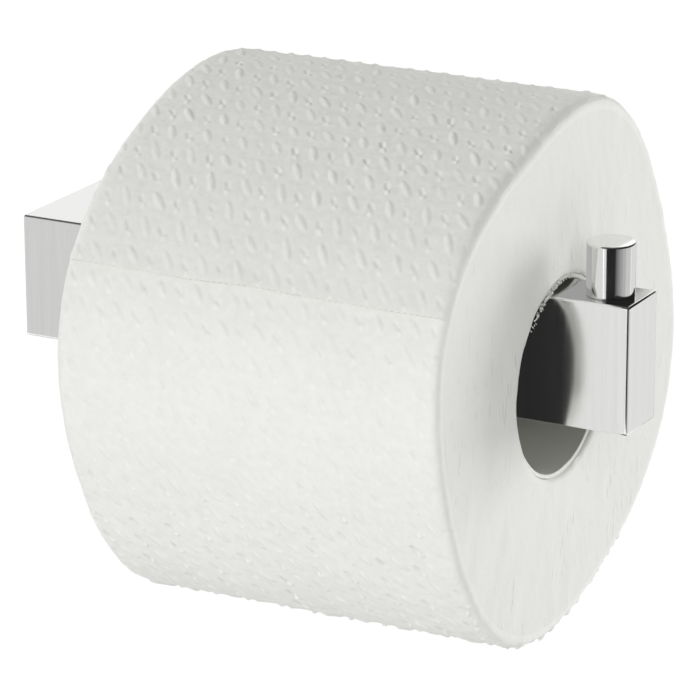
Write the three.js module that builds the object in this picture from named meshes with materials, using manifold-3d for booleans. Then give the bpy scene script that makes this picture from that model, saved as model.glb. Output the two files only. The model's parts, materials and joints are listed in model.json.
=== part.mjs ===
// Toilet paper holder: a rectangular stainless tube that runs parallel to the wall and turns
// back to it at a mitred corner, with a turned stop pin on its free end and a paper roll
// hanging on it by its cardboard core.
//
// Millimetres. X runs along the front bar towards its free end, Y runs into the wall and
// Z is up. The origin lies on the wall, at the centre of the leg's section.

import * as THREE from 'three';
import { mergeVertices } from 'three/addons/utils/BufferGeometryUtils.js';
import Module from 'manifold-3d';

const wasm = await Module();
wasm.setup();

// ---- driving dimensions --------------------------------------------------------------

// Clearances
const FIT_GAP = 0.3;             // between neighbours that are fitted, welded or clamped
const SPIN_GAP = 0.3;            // between the core and the bar's upper edges
const WALL_GAP = 5.5;            // between the full roll and the wall

// Rectangular tube of the bar and the leg
const BAR_LENGTH = 158;          // outside of the corner to the free end
const BAR_HEIGHT = 30;
const BAR_DEPTH = 15;            // front to back, and the leg's width
const TUBE_WALL = 1.5;
const EDGE_RADIUS = 0.8;
const CAP_THICKNESS = 2;
const CAP_LIP_DEPTH = 1.2;       // how far the cap's lip reaches into the tube

// Stop pin and the square weld nuts
const PIN_DIAMETER = 10.8;
const PIN_HEIGHT = 12;
const PIN_CHAMFER = 0.5;
const PIN_INSET = 8;             // pin axis to the free end of the bar
const THREAD_DIAMETER = 5;       // of the pin's spigot and of the grub screw
const THREAD_CHAMFER = 0.6;
const THREAD_OVERHANG = 1;       // how far the spigot stands out of its nut
const NUT_WIDTH = 8;
const NUT_HEIGHT = 4;

// Grub screw
const GRUB_FROM_WALL = 14;
const GRUB_RECESS = 0.4;         // its lower end below flush, inside the leg's lower wall
const GRUB_SOCKET_FLATS = 2.5;
const GRUB_SOCKET_DEPTH = 2.5;

// Wall bracket
const PLATE_THICKNESS = 4;
const TONGUE_REACH = 20;         // wall to the front of the tongue
const HEAD_EDGE_MARGIN = 1.2;    // screw head to the plate's upper or lower edge
const HEAD_TONGUE_GAP = 0.8;     // screw head to the tongue
const PLUG_RECESS_DEPTH = 0.8;   // round recess in the plate's rear face, over each plug

// Wood screws
const SCREW_DIAMETER = 4;
const SCREW_LENGTH = 42;         // under the head
const SCREW_TIP_LENGTH = 5;
const HEAD_DIAMETER = 7;
const HEAD_HEIGHT = 2.6;
const RECESS_WIDTH = 1;          // one arm of the cross recess
const RECESS_SPAN = 4;
const RECESS_DEPTH = 1.5;

// Nylon wall plugs
const PLUG_DIAMETER = 6.4;
const PLUG_LENGTH = 34;
const PLUG_RIB_PITCH = 4;
const PLUG_RIB_DEPTH = 0.4;
const PLUG_PLAIN_LENGTH = 8;     // unslit collar at the wall
const PLUG_SLIT_WIDTH = 0.9;

// Paper roll
const ROLL_LENGTH = 94;
const ROLL_DIAMETER = 122.4;     // wound paper under the loose outermost sheet
const ROLL_EDGE_RADIUS = 1.6;
const CORE_BORE = 45;
const CORE_WALL = 1;
const CORE_RECESS = 0.4;         // core end behind the paper's end face
const PIN_TO_ROLL = 6.2;
const SHEET_LENGTH = 125;        // outermost sheet, perforation to perforation
const SHEET_THICKNESS = 0.4;
const SHEET_END_ANGLE = 27.5;    // free edge above the axis on the user's side, degrees

// Facets
const ROLL_SEGMENTS = 96;
const CORE_SEGMENTS = 72;
const PIN_SEGMENTS = 48;
const SCREW_SEGMENTS = 24;
const CORNER_SEGMENTS = 4;
const SHEET_SEGMENTS = 48;

// ---- derived places and sizes --------------------------------------------------------

const boreWidth = BAR_DEPTH - 2 * TUBE_WALL;
const boreHeight = BAR_HEIGHT - 2 * TUBE_WALL;
const boreRadius = Math.max(EDGE_RADIUS - TUBE_WALL, 0.3);
const threadRadius = THREAD_DIAMETER / 2;

const insertWidth = boreWidth - 2 * FIT_GAP;
const insertHeight = boreHeight - 2 * FIT_GAP;

const sheetInnerRadius = ROLL_DIAMETER / 2 + FIT_GAP;
const sheetOuterRadius = sheetInnerRadius + SHEET_THICKNESS;
const reach = BAR_DEPTH / 2 + sheetOuterRadius + WALL_GAP;
const pinX = BAR_LENGTH - PIN_INSET;
const rollRightX = pinX - PIN_DIAMETER / 2 - PIN_TO_ROLL;

// The core hangs on the two rounded upper edges of the bar: its bore touches both edge
// circles, less the running gap.
const edgeCircleOffset = BAR_DEPTH / 2 - EDGE_RADIUS;
const boreToEdgeCentre = CORE_BORE / 2 - SPIN_GAP - EDGE_RADIUS;
const coreDrop = EDGE_RADIUS + Math.sqrt(boreToEdgeCentre ** 2 - edgeCircleOffset ** 2);

const screwOffset = insertHeight / 2 - HEAD_EDGE_MARGIN - HEAD_DIAMETER / 2;
const tongueHeight = 2 * (screwOffset - HEAD_DIAMETER / 2 - HEAD_TONGUE_GAP);

// ---- solids --------------------------------------------------------------------------

// A closed geometry as a manifold solid, with only its positions kept and merged.
function toSolid(geometry) {
  const bare = geometry.clone();
  bare.deleteAttribute('normal');
  bare.deleteAttribute('uv');
  const merged = mergeVertices(bare, 1e-4);
  const index = merged.index.array;
  const triangles = [];
  for (let i = 0; i < index.length; i += 3) {
    const [a, b, c] = [index[i], index[i + 1], index[i + 2]];
    if (a !== b && b !== c && c !== a) triangles.push(a, b, c);
  }
  return new wasm.Manifold(new wasm.Mesh({
    numProp: 3,
    vertProperties: new Float32Array(merged.attributes.position.array),
    triVerts: new Uint32Array(triangles),
  }));
}

function toGeometry(solid) {
  const mesh = solid.getMesh();
  const geometry = new THREE.BufferGeometry();
  geometry.setAttribute('position', new THREE.BufferAttribute(mesh.vertProperties, 3));
  geometry.setIndex(new THREE.BufferAttribute(mesh.triVerts, 1));
  geometry.computeVertexNormals();
  return geometry;
}

function cut(geometry, ...tools) {
  let solid = toSolid(geometry);
  for (const tool of tools) solid = solid.subtract(toSolid(tool));
  return toGeometry(solid);
}

function join(first, ...others) {
  let solid = toSolid(first);
  for (const other of others) solid = solid.add(toSolid(other));
  return toGeometry(solid);
}

// ---- shapes --------------------------------------------------------------------------

// Rectangle with rounded corners, centred on the origin, drawn anticlockwise.
function roundedRectangle(width, height, radius, PathType = THREE.Shape) {
  const x = width / 2 - radius;
  const y = height / 2 - radius;
  const outline = new PathType();
  outline.absarc(x, -y, radius, -Math.PI / 2, 0);
  outline.absarc(x, y, radius, 0, Math.PI / 2);
  outline.absarc(-x, y, radius, Math.PI / 2, Math.PI);
  outline.absarc(-x, -y, radius, Math.PI, Math.PI * 1.5);
  outline.closePath();
  return outline;
}

function extrude(shape, depth, curveSegments = CORNER_SEGMENTS) {
  return new THREE.ExtrudeGeometry(shape, { depth, curveSegments, bevelEnabled: false });
}

// Turns a geometry made along Z so that it runs along X, with its x on Y and its y on Z.
function alongX(geometry) {
  return geometry.rotateX(Math.PI / 2).rotateZ(Math.PI / 2);
}

// Turns a geometry made along Z so that it runs along Y, with its x on X.
function alongY(geometry) {
  return geometry.rotateX(-Math.PI / 2);
}

// Solid of revolution about Y from [radius, height] pairs, lowest first.
function turned(profile, segments) {
  return new THREE.LatheGeometry(profile.map(([r, y]) => new THREE.Vector2(r, y)), segments);
}

function turnedAlongZ(profile, segments) {
  return turned(profile, segments).rotateX(Math.PI / 2);
}

function drillAlongZ(radius, length) {
  return new THREE.CylinderGeometry(radius, radius, length, SCREW_SEGMENTS).rotateX(Math.PI / 2);
}

function drillAlongY(radius, length) {
  return new THREE.CylinderGeometry(radius, radius, length, SCREW_SEGMENTS);
}

// Straight rectangular tube along Z.
function rectangularTube(length) {
  const section = roundedRectangle(BAR_DEPTH, BAR_HEIGHT, EDGE_RADIUS);
  section.holes.push(roundedRectangle(boreWidth, boreHeight, boreRadius, THREE.Path));
  return extrude(section, length);
}

// Block that cuts away one side of the 45 degree mitre plane through the outside corner.
// side is +1 to cut away the leg's side and -1 to cut away the front bar's side.
function mitreCutter(side) {
  const size = 3 * Math.max(BAR_HEIGHT, BAR_DEPTH, BAR_LENGTH, reach);
  const block = new THREE.BoxGeometry(size, size, size);
  block.translate(-size / 2 + FIT_GAP / 2, 0, 0);
  return block.rotateZ(side > 0 ? -Math.PI / 4 : Math.PI * 0.75);
}

// ---- sub-parts of the holder, in the corner's own frame -------------------------------
// Its origin is the outside corner at mid height, X along the bar and Y towards the wall.

function frontBar() {
  const length = BAR_LENGTH - CAP_THICKNESS - FIT_GAP;
  const tube = alongX(rectangularTube(length)).translate(0, BAR_DEPTH / 2, 0);
  const spigotHole = drillAlongZ(threadRadius + FIT_GAP, 4 * TUBE_WALL);
  spigotHole.translate(pinX, BAR_DEPTH / 2, BAR_HEIGHT / 2 - TUBE_WALL / 2);
  return cut(tube, mitreCutter(1), spigotHole);
}

function wallLeg() {
  const tube = alongY(rectangularTube(reach)).translate(BAR_DEPTH / 2, 0, 0);
  const grubHole = drillAlongZ(threadRadius + FIT_GAP, 4 * TUBE_WALL);
  grubHole.translate(BAR_DEPTH / 2, reach - GRUB_FROM_WALL, -BAR_HEIGHT / 2 + TUBE_WALL / 2);
  return cut(tube, mitreCutter(-1), grubHole);
}

// Plate flush with the tube's outside, with a lip that locates it in the tube.
function endCap() {
  const plate = extrude(roundedRectangle(BAR_DEPTH, BAR_HEIGHT, EDGE_RADIUS), CAP_THICKNESS);
  const lipLength = FIT_GAP + CAP_LIP_DEPTH;
  const lip = extrude(roundedRectangle(insertWidth, insertHeight, boreRadius), lipLength + 1);
  lip.translate(0, 0, -lipLength);
  return alongX(join(plate, lip));
}

// Square nut with its bore along Z, centred on the origin.
function weldNut() {
  const block = new THREE.BoxGeometry(NUT_WIDTH, NUT_WIDTH, NUT_HEIGHT);
  return cut(block, drillAlongZ(threadRadius + FIT_GAP, 2 * NUT_HEIGHT));
}

// Turned pin that stands on Z = 0, with its threaded spigot below.
function stopPin() {
  const radius = PIN_DIAMETER / 2;
  const spigot = FIT_GAP + TUBE_WALL + FIT_GAP + NUT_HEIGHT + THREAD_OVERHANG;
  return turnedAlongZ([
    [0, -spigot],
    [threadRadius - THREAD_CHAMFER, -spigot],
    [threadRadius, -spigot + THREAD_CHAMFER],
    [threadRadius, 0],
    [radius, 0],
    [radius, PIN_HEIGHT - PIN_CHAMFER],
    [radius - PIN_CHAMFER, PIN_HEIGHT],
    [0, PIN_HEIGHT],
  ], PIN_SEGMENTS);
}

// Grub screw that stands on Z = 0, with its hexagon socket at the lower end.
function grubScrew() {
  const length = (BAR_HEIGHT - tongueHeight) / 2 - GRUB_RECESS - FIT_GAP;
  const body = turnedAlongZ([
    [0, 0],
    [threadRadius - THREAD_CHAMFER / 2, 0],
    [threadRadius, THREAD_CHAMFER / 2],
    [threadRadius, length - THREAD_CHAMFER],
    [threadRadius - THREAD_CHAMFER, length],
    [0, length],
  ], SCREW_SEGMENTS);
  const cornerRadius = GRUB_SOCKET_FLATS / Math.sqrt(3);
  const socket = new THREE.CylinderGeometry(cornerRadius, cornerRadius, 2 * GRUB_SOCKET_DEPTH, 6);
  return cut(body, socket.rotateX(Math.PI / 2));
}

// ---- sub-parts at the wall, in the wall's frame ---------------------------------------

// Plate against the wall with a tongue forward into the leg. Each of its two screw holes
// widens at the wall into a shallow recess, so that a proud plug can't hold the plate off.
function wallBracket() {
  const plate = extrude(roundedRectangle(insertWidth, insertHeight, boreRadius), PLATE_THICKNESS);
  alongY(plate).translate(0, -PLATE_THICKNESS, 0);
  const tongueLength = TONGUE_REACH - PLATE_THICKNESS / 2;
  const tongue = new THREE.BoxGeometry(insertWidth, tongueLength, tongueHeight);
  tongue.translate(0, tongueLength / 2 - TONGUE_REACH, 0);
  const drills = [
    [SCREW_DIAMETER / 2 + FIT_GAP, 4 * PLATE_THICKNESS],
    [PLUG_DIAMETER / 2 + FIT_GAP, 2 * PLUG_RECESS_DEPTH],
  ];
  const holes = [-1, 1].flatMap((side) => drills.map(([radius, length]) => (
    drillAlongY(radius, length).translate(0, 0, side * screwOffset)
  )));
  return cut(join(plate, tongue), ...holes);
}

// Round-headed wood screw along Y, with the underside of its head at Y = 0.
function wallScrew() {
  const headRadius = HEAD_DIAMETER / 2;
  const dome = [0, 0.25, 0.5, 0.75, 1].map((t) => {
    const angle = t * Math.PI / 2;
    return [headRadius * Math.sin(angle), -HEAD_HEIGHT * (0.3 + 0.7 * Math.cos(angle))];
  });
  const screw = turned([
    ...dome,
    [headRadius, 0],
    [SCREW_DIAMETER / 2, 0],
    [SCREW_DIAMETER / 2, SCREW_LENGTH - SCREW_TIP_LENGTH],
    [0, SCREW_LENGTH],
  ], SCREW_SEGMENTS);
  const arms = [[RECESS_SPAN, RECESS_WIDTH], [RECESS_WIDTH, RECESS_SPAN]].map(([x, z]) => (
    new THREE.BoxGeometry(x, 2 * RECESS_DEPTH, z).translate(0, -HEAD_HEIGHT, 0)
  ));
  return cut(screw, ...arms);
}

// Ribbed plug along Y from Y = 0, bored through and slit crosswise behind its collar.
function wallPlug() {
  const radius = PLUG_DIAMETER / 2;
  const bore = SCREW_DIAMETER / 2 + FIT_GAP;
  const profile = [[bore, 0], [radius, 0], [radius, PLUG_PLAIN_LENGTH]];
  for (let y = PLUG_PLAIN_LENGTH; y + PLUG_RIB_PITCH < PLUG_LENGTH; y += PLUG_RIB_PITCH) {
    profile.push([radius - PLUG_RIB_DEPTH, y + PLUG_RIB_PITCH * 0.25]);
    profile.push([radius, y + PLUG_RIB_PITCH]);
  }
  profile.push([radius - PLUG_RIB_DEPTH, PLUG_LENGTH], [bore, PLUG_LENGTH], [bore, 0]);
  const slitLength = PLUG_LENGTH - PLUG_PLAIN_LENGTH;
  const slits = [0, Math.PI / 2].map((turn) => (
    new THREE.BoxGeometry(PLUG_SLIT_WIDTH, slitLength + 1, 2 * PLUG_DIAMETER)
      .rotateY(turn)
      .translate(0, PLUG_PLAIN_LENGTH + (slitLength + 1) / 2, 0)
  ));
  return cut(turned(profile, SCREW_SEGMENTS), ...slits);
}

// ---- sub-parts of the roll, in the roll's own frame ------------------------------------
// Its origin is on the axis at the left end, X along the axis.

// Ring about X from [radius, x] pairs that close on themselves.
function ringAlongX(profile, segments) {
  return turned(profile, segments).rotateZ(-Math.PI / 2);
}

function coreTube() {
  const inner = CORE_BORE / 2;
  const outer = inner + CORE_WALL;
  const [left, right] = [CORE_RECESS, ROLL_LENGTH - CORE_RECESS];
  const profile = [[inner, left], [outer, left], [outer, right], [inner, right], [inner, left]];
  return ringAlongX(profile, CORE_SEGMENTS);
}

function paperRoll() {
  const inner = CORE_BORE / 2 + CORE_WALL + FIT_GAP;
  const outer = ROLL_DIAMETER / 2;
  const round = ROLL_EDGE_RADIUS;
  const steps = [0, 1, 2, 3].map((i) => i * Math.PI / 6);
  const leftEdge = steps.map((a) => [
    outer - round + round * Math.sin(a), round - round * Math.cos(a),
  ]);
  const rightEdge = leftEdge.map(([r, x]) => [r, ROLL_LENGTH - x]).reverse();
  const profile = [[inner, 0], ...leftEdge, ...rightEdge, [inner, ROLL_LENGTH], [inner, 0]];
  return ringAlongX(profile, ROLL_SEGMENTS);
}

// Outermost sheet: an arc of paper over the top of the roll, ending on the user's side.
function tailSheet() {
  const endAngle = Math.PI - THREE.MathUtils.degToRad(SHEET_END_ANGLE);
  const startAngle = endAngle - SHEET_LENGTH / sheetOuterRadius;
  const section = new THREE.Shape();
  section.absarc(0, 0, sheetOuterRadius, startAngle, endAngle, false);
  section.absarc(0, 0, sheetInnerRadius, endAngle, startAngle, true);
  section.closePath();
  return alongX(extrude(section, ROLL_LENGTH, SHEET_SEGMENTS));
}

// ---- materials -----------------------------------------------------------------------

function material(color, roughness, metalness) {
  return new THREE.MeshStandardMaterial({ color, roughness, metalness });
}

const brushedSteel = material(0xc9c9c7, 0.38, 1);
const polishedSteel = material(0xd6d6d6, 0.12, 1);
const zincSteel = material(0xb4b6b8, 0.42, 1);
const greyNylon = material(0x9a9c9e, 0.6, 0);
const cardboard = material(0x9d9a90, 0.9, 0);
const tissue = material(0xecede8, 0.95, 0);

// ---- assembly ------------------------------------------------------------------------

function place(parent, name, geometry, finish, x = 0, y = 0, z = 0) {
  const mesh = new THREE.Mesh(geometry, finish.clone());
  mesh.name = name;
  mesh.position.set(x, y, z);
  parent.add(mesh);
  return mesh;
}

function holder() {
  const group = new THREE.Group();
  group.position.set(-BAR_DEPTH / 2, -reach, 0);
  const middle = BAR_DEPTH / 2;
  const top = BAR_HEIGHT / 2;
  const nutHeightInBar = top - TUBE_WALL - FIT_GAP - NUT_HEIGHT / 2;
  const grubY = reach - GRUB_FROM_WALL;
  place(group, 'front_bar', frontBar(), brushedSteel);
  place(group, 'wall_leg', wallLeg(), brushedSteel);
  place(group, 'bar_end_cap', endCap(), brushedSteel, BAR_LENGTH - CAP_THICKNESS, middle);
  place(group, 'stop_pin', stopPin(), polishedSteel, pinX, middle, top + FIT_GAP);
  place(group, 'pin_weld_nut', weldNut(), zincSteel, pinX, middle, nutHeightInBar);
  place(group, 'leg_weld_nut', weldNut(), zincSteel, middle, grubY, -nutHeightInBar);
  place(group, 'grub_screw', grubScrew(), zincSteel, middle, grubY, -top + GRUB_RECESS);
  return group;
}

function wallFixing() {
  const group = new THREE.Group();
  place(group, 'wall_bracket', wallBracket(), zincSteel);
  for (const [suffix, side] of [['upper', 1], ['lower', -1]]) {
    const z = side * screwOffset;
    const headY = -PLATE_THICKNESS - FIT_GAP;
    place(group, `wall_screw_${suffix}`, wallScrew(), zincSteel, 0, headY, z);
    place(group, `wall_plug_${suffix}`, wallPlug(), greyNylon, 0, FIT_GAP, z);
  }
  return group;
}

function roll() {
  const group = new THREE.Group();
  const rightEnd = -BAR_DEPTH / 2 + rollRightX;
  group.position.set(rightEnd - ROLL_LENGTH, -reach + BAR_DEPTH / 2, BAR_HEIGHT / 2 - coreDrop);
  place(group, 'core_tube', coreTube(), cardboard);
  place(group, 'paper_roll', paperRoll(), tissue);
  place(group, 'tail_sheet', tailSheet(), tissue);
  return group;
}

const toiletPaperHolder = new THREE.Group();
toiletPaperHolder.add(holder(), wallFixing(), roll());

export default toiletPaperHolder;
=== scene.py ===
"""Looks of the toilet paper holder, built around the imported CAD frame.

Metres, in the row frame: X runs along the bar to its free end, Y into the wall, Z up.
Angles round the roll start on the user's side (-Y) and go up over the top.
"""
import json
import math

import bmesh
import bpy
import numpy as np
from mathutils import Matrix, Vector


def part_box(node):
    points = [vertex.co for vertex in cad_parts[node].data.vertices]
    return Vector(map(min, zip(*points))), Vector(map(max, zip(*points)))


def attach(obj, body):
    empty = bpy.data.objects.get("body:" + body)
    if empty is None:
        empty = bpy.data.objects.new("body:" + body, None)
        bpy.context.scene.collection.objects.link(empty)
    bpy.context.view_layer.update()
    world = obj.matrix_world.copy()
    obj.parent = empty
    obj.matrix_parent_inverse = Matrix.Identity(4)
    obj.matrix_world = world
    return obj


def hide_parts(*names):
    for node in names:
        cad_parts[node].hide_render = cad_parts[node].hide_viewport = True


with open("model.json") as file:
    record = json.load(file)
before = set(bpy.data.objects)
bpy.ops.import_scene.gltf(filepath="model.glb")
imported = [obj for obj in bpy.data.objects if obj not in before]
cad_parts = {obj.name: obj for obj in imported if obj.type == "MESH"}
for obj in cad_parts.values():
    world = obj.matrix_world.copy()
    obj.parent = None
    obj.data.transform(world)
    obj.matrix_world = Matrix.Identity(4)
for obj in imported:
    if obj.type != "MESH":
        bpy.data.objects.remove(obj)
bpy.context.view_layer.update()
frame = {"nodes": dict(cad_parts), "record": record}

MM = 0.001

# ---- places taken from the frame -------------------------------------------------------

bar_lo, bar_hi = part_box("front_bar")
_, leg_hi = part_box("wall_leg")
_, cap_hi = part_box("bar_end_cap")
pin_lo, pin_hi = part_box("stop_pin")
paper_lo, paper_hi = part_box("paper_roll")
core_lo, core_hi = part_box("core_tube")
spin = next(j for j in frame["record"]["behaviour"]["joints"] if j["name"] == "roll_spin")

AXIS = Vector(spin["pos_m"])
ROLL_LEFT, ROLL_RIGHT = paper_lo[0], paper_hi[0]
ROLL_RADIUS = (paper_hi[2] - paper_lo[2]) / 2
CORE_OUTER = (core_hi[2] - core_lo[2]) / 2
CORE_WALL = 1.0 * MM
CORE_INNER = CORE_OUTER - CORE_WALL
BAR_TOP = bar_hi[2]
PIN_X, PIN_Y = (pin_lo[0] + pin_hi[0]) / 2, (pin_lo[1] + pin_hi[1]) / 2

# ---- the roll's form -------------------------------------------------------------------

EDGE_ROUND = 2.0 * MM                 # rounding of the roll's outer edges
SHEET_LIFT = 0.45 * MM                # how far the loose sheet stands off the roll
SHEET_THICK = 0.22 * MM
SHEET_END = math.radians(27.4)        # free edge of the loose sheet
SHEET_LENGTH = 125 * MM
SHEET_START = SHEET_END + SHEET_LENGTH / (ROLL_RADIUS + SHEET_LIFT)

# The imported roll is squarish, and a little fatter at its left end than at its right.
# For each end: mean radius, and (order, amplitude, direction of the first bulge in degrees).
LEFT_FORM = (62.55 * MM, [(1, 0.55 * MM, 88), (2, 1.02 * MM, 5), (4, 1.72 * MM, 22),
                          (6, 0.13 * MM, 13)])
RIGHT_FORM = (61.6 * MM, [(1, 0.97 * MM, 147), (2, 0.96 * MM, 10), (3, 0.5 * MM, 26.5),
                          (4, 2.21 * MM, 23.5), (5, 0.29 * MM, -30)])

# Embossing: rows of raised ovals, and between them narrow dents, each with a raised fleck at
# its lower end. No two are quite alike.
EMBOSS_PITCH_X = 8.9 * MM
EMBOSS_PITCH_S = 6.62 * MM
EMBOSS_ROW_SHIFT = 0.75 * MM
EMBOSS_TILT = math.radians(37)
RAISED = dict(half_length=2.3 * MM, half_width=0.66 * MM, height=0.23 * MM, dx=0.0, ds=0.0,
              wall=0.5, seed=3)
SUNKEN = dict(half_length=1.2 * MM, half_width=0.42 * MM, height=-0.26 * MM,
              dx=4.3 * MM, ds=-0.1 * MM, wall=0.8, seed=7)
FLECK = dict(half_length=0.7 * MM, half_width=0.42 * MM, height=0.24 * MM,
             dx=5.4 * MM, ds=-2.0 * MM, wall=0.9, seed=9)


def smooth(t):
    """Smooth step of t clipped to 0..1."""
    t = np.clip(t, 0.0, 1.0)
    return t * t * (3.0 - 2.0 * t)


def value_noise(u, v, seed):
    """Smooth noise in -1..1 on a unit lattice."""
    table = np.random.RandomState(seed).uniform(-1.0, 1.0, (256, 256))
    iu, iv = np.floor(u).astype(int), np.floor(v).astype(int)
    fu, fv = smooth(u - iu), smooth(v - iv)

    def corner(du, dv):
        return table[np.mod(iu + du, 256), np.mod(iv + dv, 256)]

    low = corner(0, 0) * (1 - fu) + corner(1, 0) * fu
    high = corner(0, 1) * (1 - fu) + corner(1, 1) * fu
    return low * (1 - fv) + high * fv


def oval_relief(x, s, oval, origin):
    """Height of one family of embossed ovals at distance x along and s round the roll."""
    vary = np.random.RandomState(oval["seed"]).uniform(-1.0, 1.0, (5, 64, 64))
    x = x - origin[0] - oval["dx"]
    s = s - origin[1] - oval["ds"]
    row = np.round(s / EMBOSS_PITCH_S).astype(int)
    relief = np.zeros_like(x)
    for r in (row - 1, row, row + 1):
        shifted = x - r * EMBOSS_ROW_SHIFT
        column = np.round(shifted / EMBOSS_PITCH_X).astype(int)
        move_x, move_s, turn, size, strength = vary[:, np.mod(r, 64), np.mod(column, 64)]
        dx = shifted - column * EMBOSS_PITCH_X + 0.28 * MM * move_x
        ds = s - r * EMBOSS_PITCH_S + 0.3 * MM * move_s
        tilt = EMBOSS_TILT + 0.16 * turn
        along = (ds * np.cos(tilt) - dx * np.sin(tilt)) / (oval["half_length"] * (1 + 0.14 * size))
        across = (ds * np.sin(tilt) + dx * np.cos(tilt)) / oval["half_width"]
        q = np.sqrt(along ** 2 + across ** 2)
        top = smooth((1.0 + oval["wall"] / 2 - q) / oval["wall"])
        moat = 0.16 * np.exp(-((q - 1.55) / 0.3) ** 2)
        relief = relief + (top - moat) * (1 + 0.3 * strength)
    return relief * oval["height"]


def painted_relief_shade_at(x, angle, origin):
    """Painted shade and highlight of the embossing: up to 1 in the dents and beside the ovals,
    which are painted darker as shade, and down to -1 on the flecks, painted lighter as highlight."""
    s = angle * ROLL_RADIUS
    dents = -oval_relief(x, s, SUNKEN, origin) / abs(SUNKEN["height"])
    # painted shadow of each raised oval, set off towards the free end and down round the roll
    shifted = dict(RAISED, dx=0.75 * MM, ds=-0.35 * MM, half_width=0.5 * MM)
    beside = (oval_relief(x, s, shifted, origin) - oval_relief(x, s, RAISED, origin))
    flecks = oval_relief(x, s, FLECK, origin) / FLECK["height"]
    return np.clip(np.abs(dents) + 0.3 * np.clip(beside / RAISED["height"], 0, 1) - flecks, -1, 1)


def embossing(x, angle, origin):
    """Relief of the embossed paper at distance x along and angle round the roll."""
    s = angle * ROLL_RADIUS
    relief = sum(oval_relief(x, s, oval, origin) for oval in (RAISED, SUNKEN, FLECK))
    slack = value_noise(x / (9.0 * MM), s / (7.0 * MM), 11)
    pucker = value_noise((x + 0.6 * s) / (2.6 * MM), (s - 0.6 * x) / (3.4 * MM), 12)
    crumple = value_noise(x / (1.1 * MM), s / (1.7 * MM), 13)
    return relief * (1 + 0.35 * pucker) + MM * (0.07 * slack + 0.06 * pucker + 0.055 * crumple)


def bare_radius(x, angle):
    """The roll's outer radius without its embossing, at a distance along and an angle round."""
    along = (x - ROLL_LEFT) / (ROLL_RIGHT - ROLL_LEFT)
    radius = 0.0
    for share, (mean, waves) in ((1 - along, LEFT_FORM), (along, RIGHT_FORM)):
        form = np.full_like(angle, mean)
        for order, amplitude, bulge in waves:
            form = form + amplitude * np.cos(order * (angle - math.radians(bulge)))
        radius = radius + share * form
    return radius


def on_roll(x, radius, angle):
    """Points at distance x along, radius from and angle round the roll's axis."""
    y = AXIS.y - radius * np.cos(angle)
    z = AXIS.z + radius * np.sin(angle)
    return np.stack([np.broadcast_to(x, y.shape), y, z], axis=-1)


# ---- mesh helpers ----------------------------------------------------------------------

def add_mesh(name, verts, faces, materials, material_index=None, smooth_angle=35):
    mesh = bpy.data.meshes.new(name)
    mesh.from_pydata(np.asarray(verts).tolist(), [],
                     faces.tolist() if isinstance(faces, np.ndarray) else faces)
    for material in materials:
        mesh.materials.append(material)
    if material_index is not None:
        mesh.polygons.foreach_set("material_index", material_index)
    return add_object(name, mesh, smooth_angle)


def add_painted_relief_shade(obj, values):
    """Stores the painted shade and highlight of the embossing at each point, for the paper's
    colour.
    """
    attribute = obj.data.attributes.new("painted_relief_shade", "FLOAT", "POINT")
    attribute.data.foreach_set("value", np.asarray(values, dtype=np.float32).ravel())


def add_object(name, mesh, smooth_angle=35):
    mesh.polygons.foreach_set("use_smooth", [True] * len(mesh.polygons))
    mesh.set_sharp_from_angle(angle=math.radians(smooth_angle))
    mesh.update()
    obj = bpy.data.objects.new(name, mesh)
    bpy.context.scene.collection.objects.link(obj)
    return obj


def grid_faces(rows, columns, wrap_rows=False, wrap_columns=False):
    """Quads over a grid of points stored row by row."""
    i = np.arange(rows if wrap_rows else rows - 1)
    j = np.arange(columns if wrap_columns else columns - 1)
    i, j = np.meshgrid(i, j, indexing="ij")
    i2, j2 = (i + 1) % rows, (j + 1) % columns
    quads = np.stack([i * columns + j, i2 * columns + j, i2 * columns + j2, i * columns + j2], -1)
    return quads.reshape(-1, 4)


def lathe(name, profile, centre, segments, materials, smooth_angle=35):
    """Solid of revolution about an upright axis, from (radius, height) pairs, lowest first,
    that start and end on the axis."""
    points = profile[1:-1]
    turn = np.linspace(0, 2 * math.pi, segments, endpoint=False)
    radius = np.array([p[0] for p in points])[:, None]
    height = np.array([p[1] for p in points])[:, None]
    x, y = radius * np.cos(turn), radius * np.sin(turn)
    z = np.broadcast_to(height, x.shape)
    verts = np.stack((x, y, z), -1).reshape(-1, 3)
    faces = [tuple(f[::-1]) for f in grid_faces(len(points), segments, wrap_columns=True)]
    first, last = len(verts), len(verts) + 1
    verts = np.vstack([verts, (0, 0, profile[0][1]), (0, 0, profile[-1][1])])
    rim = (len(points) - 1) * segments
    for k in range(segments):
        k2 = (k + 1) % segments
        faces.append((first, k2, k))
        faces.append((last, rim + k, rim + k2))
    verts = verts + np.array(centre)
    return add_mesh(name, verts, faces, materials, smooth_angle=smooth_angle)


def subtract(obj, cutter):
    """Cuts the cutter out of obj and removes the cutter."""
    modifier = obj.modifiers.new("cut", "BOOLEAN")
    modifier.operation = "DIFFERENCE"
    modifier.solver = "EXACT"
    modifier.object = cutter
    depsgraph = bpy.context.evaluated_depsgraph_get()
    cut = bpy.data.meshes.new_from_object(obj.evaluated_get(depsgraph))
    obj.modifiers.clear()
    obj.data = cut
    bpy.data.objects.remove(cutter)


# ---- shader helpers --------------------------------------------------------------------

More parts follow.
